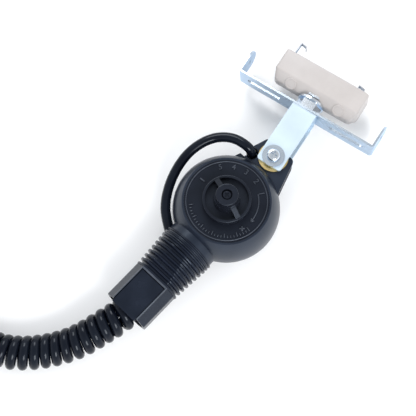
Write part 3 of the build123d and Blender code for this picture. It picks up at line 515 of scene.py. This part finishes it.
def shoulder_bead(name, place):
    """Rounded bead round the shoulder: a circle about the neck's middle line whose section is half
    of an ellipse, sunk a little into the shoulder and closed below."""
    radius, height, sunk, half_width = 0.0184, 0.0011, 0.0006, 0.0009
    turn = np.linspace(0, 2 * math.pi, 96, endpoint=False)
    half = np.linspace(0, math.pi, 11)
    reach = radius - sunk + (height + sunk) * np.sin(half)
    grid = np.stack([reach[None, :] * np.cos(turn)[:, None],
                     np.broadcast_to(-place + half_width * np.cos(half), (len(turn), len(half))),
                     reach[None, :] * np.sin(turn)[:, None] + neck_middle], axis=-1)
    return grid_piece(name, grid, loop=True)


for index, place in enumerate((0.0370, 0.0394)):
    bead = shoulder_bead(f"shoulder_bead_{index}", place)
    wear(bead, neck_black)
    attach(bead, "housing")

# ------------------------------------------------------------------ strap, crossbar and their hardware
# Bright zinc-plated steel: a U-strap pressed from sheet, a slotted crossbar with upturned tabs, and
# turned and rolled screws, nuts and washers.


def plated(name, tone, rough, grain, depth, metal=1.0):
    """Plated metal whose tone and roughness drift in soft clouds, with a fine grain.  Metal under 1
    stands for a dull, whitish plating."""
    finish = moulded(name, tuple(0.92 * c for c in tone), tone, rough, grain, depth)
    finish.node_tree.nodes["Principled BSDF"].inputs["Metallic"].default_value = metal
    return finish


zinc_sheet = plated("zinc_sheet", (0.64, 0.76, 0.85), 0.3, 1400.0, 0.00002, 0.55)
zinc_bar = plated("zinc_bar", (0.50, 0.57, 0.64), 0.27, 1400.0, 0.00002)
zinc_washer = plated("zinc_washer", (0.55, 0.62, 0.69), 0.25, 1400.0, 0.00002)
zinc_turned = plated("zinc_turned", (0.74, 0.79, 0.84), 0.18, 1800.0, 0.00001)
spring_grey = plated("spring_grey", (0.34, 0.35, 0.37), 0.3, 1600.0, 0.00001)
wear(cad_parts["hanger_strap"], zinc_sheet)
wear(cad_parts["ceiling_crossbar"], zinc_bar)
wear(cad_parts["pivot_washer"], zinc_washer)
for piece in ("pivot_screw", "pivot_nut", "hollow_nipple", "nipple_lock_nut", "hex_nut", "flange_washer",
              "block_nut", "terminal_screws", "shell_screws", "clamp_screw", "lower_nut", "spring_arbor"):
    wear(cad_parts[piece], zinc_turned)
for piece in ("terminal_clip_front", "terminal_clip_rear", "click_spring", "ratchet_wheel", "spiral_spring"):
    wear(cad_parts[piece], spring_grey)

# ------------------------------------------------------------------ brass and copper pieces
# Friction washers between the strap and the lug, terminal barrels, bush, lamp nipple and conductors.
turned_brass = plated("turned_brass", (0.80, 0.62, 0.28), 0.25, 1500.0, 0.00001)
for piece in ("friction_washers", "terminal_barrels", "drum_bush", "lower_nipple", "conductors"):
    wear(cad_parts[piece], turned_brass)

# ------------------------------------------------------------------ terminal block
# Satin warm-grey moulded tray with sloping lower faces and two round knock-outs, held on the hollow
# nipple between its flange and a nut, with its insulating base inside.
block_cream = moulded("block_cream", (0.44, 0.405, 0.385), (0.475, 0.44, 0.42), 0.42, 2200.0, 0.00003)
wear(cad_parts["terminal_base"], block_cream)
pivot = np.array([0.0, 0.0465, 0.021])
pivot_to_block = 0.0415
hanger_turn, bracket_turn = math.radians(10.5), math.radians(3.0)
block_away = np.array([-math.sin(hanger_turn), math.cos(hanger_turn), 0.0])
block_side = np.array([math.cos(bracket_turn) * math.cos(hanger_turn),
                       math.cos(bracket_turn) * math.sin(hanger_turn), math.sin(bracket_turn)])
block_down = np.cross(block_away, block_side)
block_home = pivot + pivot_to_block * block_away


def in_block(local):
    """Places in the model of points given in millimetres in the bracket's own frame."""
    return block_home + (local[..., :1] * block_side + local[..., 1:2] * block_down
                         + local[..., 2:] * block_away) / 1000


tray_corner, tray_middle = 2.2, -0.5


def tray_ring(half_x, half_y, level):
    """Rounded rectangle at one level: the point at each angle of a rounded corner, moved out to that
    corner's centre.  A narrow ring's corners are as round as its width lets them be."""
    angle = np.linspace(0, 2 * math.pi, 64, endpoint=False) + math.pi / 64
    corner = min(tray_corner, half_y - 0.2)
    x = np.sign(np.cos(angle)) * (half_x - corner) + corner * np.cos(angle) + tray_middle
    y = np.sign(np.sin(angle)) * (half_y - corner) + corner * np.sin(angle)
    return np.c_[x, y, np.full(len(angle), level)]


# Millimetres: half length, half width and level of each ring, from the floor's outside up over the
# rim and down to the floor's inside.
tray_rows = [(1.0, 0.6, 9.5), (28.0, 2.6, 9.5), (29.0, 3.4, 9.62), (30.6, 4.8, 10.75),
             (32.4, 9.4, 15.2), (32.75, 9.8, 15.7), (33.0, 10.0, 16.4), (33.0, 10.0, 31.5),
             (32.6, 9.6, 31.95), (31.0, 8.0, 32.0), (31.0, 8.0, 16.8), (28.8, 3.6, 11.6), (1.0, 0.6, 11.6)]
tray = grid_piece("terminal_cover_tray", in_block(np.array([tray_ring(*row) for row in tray_rows])),
                  ends=True, crisp=36)

# Millimetres: radius and rise of each circle of a knock-out, from its foot inside the wall over its
# rim to its sunk middle.  Its axis leans from the floor's towards the sloping face.
knock_out_lean = math.radians(45)
knock_out_rows = ((4.3, -0.9), (4.3, 0.45), (4.1, 0.65), (3.3, 0.65), (3.1, 0.4), (0.5, 0.4))


def knock_out(name, along):
    """Round knock-out at a place along the block: circles of these radii about its leaning axis, each
    moved along the axis by its rise."""
    turn = np.linspace(0, 2 * math.pi, 48, endpoint=False)
    lean_cos, lean_sin = math.cos(knock_out_lean), math.sin(knock_out_lean)
    circles = np.array([np.c_[along + reach * np.cos(turn),
                              -5.9 + reach * np.sin(turn) * lean_cos - rise * lean_sin,
                              11.8 - reach * np.sin(turn) * lean_sin - rise * lean_cos]
                        for reach, rise in knock_out_rows])
    return grid_piece(name, in_block(circles), ends=True, crisp=36)


bosses = [knock_out(f"terminal_cover_boss_{index}", along) for index, along in enumerate((-18.5, 19.5))]
for piece in [tray] + bosses:
    wear(piece, block_cream)
    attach(piece, "bracket")
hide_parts("terminal_cover")

# ------------------------------------------------------------------ nylon pieces
# Natural nylon of the drum and its cover, the wire guide and the cord clamp, seen only when the ball
# is open.
nylon = moulded("nylon", (0.68, 0.67, 0.62), (0.76, 0.75, 0.70), 0.45, 2000.0, 0.00003)
for piece in ("wire_guide", "cord_clamp", "cable_drum", "spring_cover"):
    wear(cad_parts[piece], nylon)
